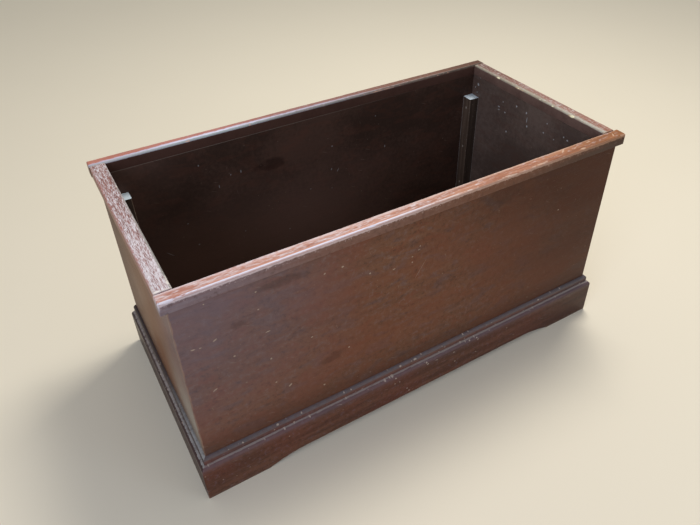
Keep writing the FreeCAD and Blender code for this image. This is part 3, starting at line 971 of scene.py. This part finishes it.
# Each board: how strong and wide its pale line (a painted highlight) is, how dark its flats are as painted
# shade and how far its ridges are lit towards the near end, where they are, and single marks as on the walls
plinthSides = {
    "front": {
        "along": 0, "line": 0.62, "lineWidth": 0.8,
        "marks": [
            (-0.069, 0.077, 5, 4, 0), (0.003, 0.079, 4, 4, 0), (0.028, 0.073, 4, 3, 0),
            (0.128, 0.080, 4, 3, 0), (-0.042, 0.032, 4, 4, 0), (-0.092, 0.082, 5, 4, 0),
            (-0.075, 0.083, 6, 4, 0), (-0.020, 0.095, 8, 4, 0), (-0.054, 0.095, 5, 4, 0),
            (-0.060, 0.062, 3, 4, 0), (-0.310, 0.096, 6, 3, 0), (0.30, 0.095, 5, 3, 0),
            (0.070, 0.071, 4, 4, 0), (0.075, 0.042, 3, 4, 0), (-0.071, 0.063, 3, 4, 0),
            (0.131, 0.075, 5, 3, 20), (0.110, 0.081, 4, 3, 0), (0.089, 0.084, 5, 3, 0),
            (-0.037, 0.023, 4, 4, 0), (0.006, 0.074, 6, 4, 40),
        ],
    },
    # The left board is darkened as painted shade
    "left": {"along": 1, "dark": 0.75, "line": 0.9, "lineWidth": 1.3, "lit": 0.9},
    "right": {"along": 1, "line": 0.62, "lineWidth": 0.8},
}


def plinthFinish(side, seed):
    look, own = plinthLook, plinthSides[side]
    node = side + "_plinth"
    along = own["along"]
    lo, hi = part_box(node)
    finish = Finish(node + "Finish", look)
    lay, ramp, fade, axis = finish.lay, finish.ramp, finish.fade, finish.axis
    flat = finish.add("ShaderNodeCombineXYZ", sockets={0: axis[along], 1: axis[2]})
    share = (axis[along] - lo[along]) / (hi[along] - lo[along])
    below = hi.z - axis[2]
    ovoloTop = plinthBoard["bead"] + plinthBoard["beadDrop"]
    fields = patterns(finish, along, seed, plinthGrain, plinthClouds)
    streak, fibre, blotch, rub = (fields[k] for k in ("streak", "fibre", "blotch", "rub"))
    pores = ramp(fields["pores"], *look["porous"])
    rubOff = rub - 0.5

    finish.color = look["dark"]
    finish.layers(fields, plinthLayers)
    # Painted shade: darker towards the high end
    lay(fade("paintedEndShade", share), "smudge")
    lay(pores * 0.5, "pore")
    kicked = ramp(axis[2] + rubOff * (16 * mm), 9 * mm, 1 * mm)
    lay(kicked * 0.4, "scuff")

    # The bead and the round-over are greyed as painted sheen, with a pale broken line as a painted
    # highlight, and pale dots where they are rubbed
    moulded = fade("moulded", below)
    bead = fade("beadTop", below + rubOff * (2 * mm))
    # Painted sheen and highlights on the moulding
    lay(moulded * 0.22, "haze")
    lay(bead * (0.2 * streak + 0.9 * rub), "bead")
    paintedOvoloSheen = ramp(below, ovoloTop - 0.3 * mm, ovoloTop)
    paintedOvoloSheen = paintedOvoloSheen * ramp(below, ovoloTop + 9 * mm, ovoloTop + 3 * mm)
    lay(paintedOvoloSheen * 0.35, "haze")
    # Painted shade: the left board is darkened
    if "dark" in own:
        lay(own["dark"], "pore")
    offset = (below - ovoloTop - look["lineDrop"]) / (own["lineWidth"] * mm)
    broken = rubOff * 2.4 + (streak - 0.5) * 2.0 + (blotch - 0.5) * 1.5
    line = ramp(offset * offset + broken, 1.1, 0.2)
    lay(line * own["line"], "line")
    if "lit" in own:
        ridge = fade("ridge", below).atLeast(line)
        lay(ramp(share, *look["litRun"]) * ridge * (0.3 + 1.2 * rub) * own["lit"], "lit")
    fromLine = (below - ovoloTop) / mm
    dotted = fade("beadDots", below).atLeast(ramp(fromLine * fromLine, 9.0, 1.0))
    dots = flecks(finish, flat, *look["ridgeDots"], seed + 21) * dotted
    lay(dots * 0.9, "fleck")

    marks = flecks(finish, flat, *look["spots"], seed)
    marks = marks.atLeast(scratches(finish, flat, look["scratches"], seed) * 0.6)
    if "marks" in own:
        marks = marks.atLeast(placedMarks(finish, along, own["marks"], seed))
    lay(marks * 0.6, "fleck")
    wear = finish.add("ShaderNodeAttribute", {"attribute_name": "wear"}, output="Fac")
    nicked = ramp(wear + rubOff * 0.5, 0.40, 0.62)
    lay(nicked * 0.85, "worn")
    roughness = look["gloss"] + (look["beadGloss"] - look["gloss"]) * moulded
    roughness = roughness + (blotch - 0.5) * 0.15 + marks * 0.2 + nicked * 0.25
    height = fibre * 0.3 - pores * 0.4 - marks * 0.7 - nicked * 0.3
    return finish.surface(roughness, height, look["specular"])


# Posts, cleats and the bottom board
innerLook = {
    "light": tone(122, 104, 90),
    "dark": tone(92, 76, 64),
    # Painted shade for the posts' faces towards the front
    "thick": tone(40, 33, 29),
    # Pale end grain on the post tops, brightened as a painted highlight
    "top": tone(224, 241, 254),
    # Painted highlight along the posts' upright arrises
    "edge": tone(188, 186, 184),
    "raw": tone(158, 124, 88),
    "rawDark": tone(116, 84, 56),
    "fleck": tone(190, 178, 166),
    "gloss": 0.40,
    "bump": 0.3 * mm,
    "spots": (50, 1.6 * mm, 0.5),
    "scratches": ((30, 7, 40 * mm, 0.9 * mm, 0.3, 0), (100, 7, 30 * mm, 0.8 * mm, 0.3, 9)),
}
boardLook = dict(innerLook, gloss=0.5, bump=0.25 * mm)
postGrain = {
    "streak": (5, 90, 0, 3.0, 0.0),
    "fibre": (20, 500, 3, 2.0, 0.0),
}
postClouds = {"rub": ((160, 160, 160), 5, 3.0, 0.5)}
boardGrain = {
    "broad": (2, 30, 0, 3.0, 0.0),
    "fine": (5, 190, 1, 4.0, 0.0),
    "fibre": (14, 420, 3, 2.0, 0.0),
}


def postFinish(node, seed):
    look = innerLook
    lo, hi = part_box(node)
    x, y, z = (0, 1, 2)
    finish = Finish(node + "Finish", look)
    lay, mix, ramp, axis = finish.lay, finish.mix, finish.ramp, finish.axis
    fields = patterns(finish, z, seed, postGrain, postClouds)
    fibre, rub = fields["fibre"], fields["rub"]
    rubOff = rub - 0.5
    finish.color = mix(ramp(fields["streak"], 0.38, 0.64), look["dark"], look["light"])
    # Painted shade: the face towards the front is darker
    thick = ramp(axis[y], lo.y + 0.6 * mm, lo.y + 0.2 * mm)
    lay(thick * 0.6, "thick")
    # Pale top, brightened as a painted highlight
    top = ramp(axis[z] + rubOff * (2 * mm), hi.z - 0.8 * mm, hi.z - 0.3 * mm)
    lay(top * 0.97, "top")
    # Painted highlight: a pale line along the upright arrises
    fromX = (axis[x] - lo.x).atMost(hi.x - axis[x])
    fromY = (axis[y] - lo.y).atMost(hi.y - axis[y])
    edge = ramp(fromX.atLeast(fromY) + rubOff * (2 * mm), 1.1 * mm, 0.5 * mm)
    lay(edge * 0.7, "edge")
    dust = ramp(rub + fibre * 0.4, 0.90, 0.98)
    lay(dust * 0.5, "fleck")
    roughness = look["gloss"] + rubOff * 0.2
    return finish.surface(roughness, fibre * 0.5 + dust * 0.3)


# Bare boards; the dressed one is stained on top
def bottomFinish(node, along, dressed, seed):
    look = boardLook
    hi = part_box(node)[1]
    finish = Finish(node + "Finish", look)
    lay, mix, ramp, axis = finish.lay, finish.mix, finish.ramp, finish.axis
    fields = patterns(finish, along, seed, boardGrain, {})
    fibre = fields["fibre"]
    streak = fields["broad"] * 0.4 + fields["fine"] * 0.6
    flat = finish.add("ShaderNodeCombineXYZ", sockets={0: axis[0], 1: axis[1]})
    finish.color = mix(ramp(streak, 0.36, 0.64), look["rawDark"], look["raw"])
    lay(ramp(fibre, 0.56, 0.72) * 0.5, "rawDark")
    marks = flecks(finish, flat, *look["spots"], seed)
    marks = marks.atLeast(scratches(finish, flat, look["scratches"], seed))
    if dressed:
        stained = mix(ramp(streak, 0.38, 0.64), look["dark"], look["light"])
        stained = mix(marks * 0.4, stained, look["fleck"])
        upper = ramp(axis[2], hi.z - 1.2 * mm, hi.z - 0.8 * mm)
        lay(upper, stained)
    roughness = look["gloss"] + (streak - 0.5) * 0.3
    return finish.surface(roughness, fibre * 0.5 - marks * 0.4)


# Nails: dull steel with brown stain wiped over it
nailLook = {
    "steel": tone(228, 220, 206),
    "smear": tone(128, 104, 86),
    "rust": tone(96, 52, 30),
    "stained": tone(56, 46, 40),
    "metallic": 0.3,
    "gloss": 0.42,
    "bump": 0.2 * mm,
}
nailClouds = {
    "smear": ((420, 420, 420), 0, 3.0, 0.6),
    "rust": ((900, 900, 900), 3, 2.0, 0.5),
}
nailLayers = (
    ("smear", 0.46, 0.72, 1.0, "smear"),
    ("rust", 0.62, 0.74, 0.6, "rust"),
)


def nailFinish(node, seed):
    look = nailLook
    finish = Finish(node + "Finish", look)
    lay, ramp, axis = finish.lay, finish.ramp, finish.axis
    fields = patterns(finish, 0, seed, {}, nailClouds)
    finish.color = look["steel"]
    finish.layers(fields, nailLayers)
    if node == "post_nails":
        # Heads in the faces towards the front and back are stained over
        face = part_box("back_right_post")[0].x
        fromMiddle = axis[0].calc("ABSOLUTE", axis[0])
        stained = ramp(fromMiddle, face + 2 * mm, face + 4 * mm)
        lay(stained * 0.9, "stained")
    finish.feed(finish.shader.inputs["Metallic"], look["metallic"])
    roughness = look["gloss"] + (fields["smear"] - 0.5) * 0.3
    return finish.surface(roughness, fields["rust"])


def dress(piece, material):
    piece.data.materials.clear()
    piece.data.materials.append(material)


for index, side in enumerate(strips):
    piece = wornBar(side + "RimStrip", side + "_rim_strip", rimChips[side], index * 7.3)
    dress(piece, rimFinish(side, index * 3.1 + 1))
print("rim strips made")

for index, side in enumerate(plinthSides):
    piece = mouldedBoard(side + "Plinth", side + "_plinth", index * 5.7)
    dress(piece, plinthFinish(side, index * 4.3 + 2))
print("plinth made")

for index, side in enumerate(wallSides):
    dress(nodes[side + "_panel"], wallFinish(side, index * 6.1))
for index, corner in enumerate(("front_left", "front_right", "back_left", "back_right")):
    dress(nodes[corner + "_post"], postFinish(corner + "_post", index * 2.9))
for index, side in enumerate(wallSides):
    cleat = side + "_cleat"
    dress(nodes[cleat], bottomFinish(cleat, wallSides[side]["along"], False, index * 3.7))
dress(nodes["bottom_board"], bottomFinish("bottom_board", 0, True, 8.5))
for index, name in enumerate(("post_nails", "cleat_nails", "bottom_nails", "rim_brads", "plinth_brads")):
    dress(nodes[name], nailFinish(name, index * 2.1))
print("walls, posts, cleats, bottom and nails dressed")


# Floor, light and camera
stageLook = {
    "floor": tone(234, 227, 208),
    "floorShade": tone(216, 208, 188),
    "shadeStrength": 0.12,
    "roughness": 0.8,
    "bump": 0.1 * mm,
    "reach": 40.0,
    "sky": tone(246, 245, 243),
    "skyLevel": 0.46,
}


def plainFloor():
    look = stageLook
    bm = bmesh.new()
    bmesh.ops.create_grid(bm, x_segments=1, y_segments=1, size=look["reach"])
    mesh = bpy.data.meshes.new("floor")
    bm.to_mesh(mesh)
    bm.free()
    floor = bpy.data.objects.new("floor", mesh)
    bpy.context.scene.collection.objects.link(floor)
    finish = Finish("floorFinish", look)
    soft = finish.cloud(finish.scaled(finish.place, (3, 3, 3)), 3.0)
    finish.color = finish.mix(soft * look["shadeStrength"], look["floor"], look["floorShade"])
    floor.data.materials.append(finish.surface(look["roughness"], soft))


lamps = {
    "key": {
        "at": (0.95, 0.50, 2.65), "aim": (0, 0, 0.1), "size": (0.9, 0.9),
        "watts": 47, "color": (255, 248, 238),
    },
    "fill": {
        "at": (-1.7, -1.2, 1.4), "aim": (0, 0, 0.3), "size": (1.0, 1.0),
        "watts": 13, "color": (216, 226, 255),
    },
    "glint": {
        "at": (0.9, -1.75, 1.2), "aim": (0, -0.2, 0.1), "size": (0.7, 0.4),
        "watts": 3, "color": (218, 229, 255),
    },
}


def softLamp(name, own):
    data = bpy.data.lights.new(name, "AREA")
    data.shape = "RECTANGLE"
    data.size, data.size_y = own["size"]
    data.energy = own["watts"]
    data.color = tone(*own["color"])[:3]
    lamp = bpy.data.objects.new(name, data)
    bpy.context.scene.collection.objects.link(lamp)
    lamp.location = own["at"]
    lamp.rotation_euler = (Vector(own["aim"]) - Vector(own["at"])).to_track_quat("-Z", "Y").to_euler()


def skyLight():
    world = bpy.data.worlds.new("sky")
    world.use_nodes = True
    bpy.context.scene.world = world
    background = next(n for n in world.node_tree.nodes if n.type == "BACKGROUND")
    background.inputs["Color"].default_value = stageLook["sky"]
    background.inputs["Strength"].default_value = stageLook["skyLevel"]


# Camera as in the photograph: lens and middle in pixels of its 700 x 525 frame
cameraFit = {
    "at": (-0.5261, -0.8902, 1.0320),
    "azimuth": -31.26,
    "elevation": 36.95,
    "roll": -0.29,
    "lens": 637.8,
    "middle": (21.8, -29.3),
    "frame": 700,
    "sensor": 36,             # mm
}


def photoCamera():
    own = cameraFit
    azimuth, elevation, roll = (math.radians(own[k]) for k in ("azimuth", "elevation", "roll"))
    flatReach = math.cos(elevation)
    back = Vector((math.sin(azimuth) * flatReach, -math.cos(azimuth) * flatReach, math.sin(elevation)))
    right = Vector((0, 0, 1)).cross(back).normalized()
    up = back.cross(right)
    turnedRight = right * math.cos(roll) + up * math.sin(roll)
    turnedUp = up * math.cos(roll) - right * math.sin(roll)
    data = bpy.data.cameras.new("camera")
    data.sensor_width = own["sensor"]
    data.lens = own["lens"] / own["frame"] * own["sensor"]
    data.shift_x = -own["middle"][0] / own["frame"]
    data.shift_y = own["middle"][1] / own["frame"]
    camera = bpy.data.objects.new("camera", data)
    bpy.context.scene.collection.objects.link(camera)
    turn = Matrix((turnedRight, turnedUp, back)).transposed()
    camera.matrix_world = Matrix.Translation(own["at"]) @ turn.to_4x4()
    bpy.context.scene.camera = camera


plainFloor()
for name, own in lamps.items():
    softLamp(name, own)
skyLight()
photoCamera()
bpy.context.scene.view_settings.view_transform = "Standard"
print("floor, lamps and camera set")
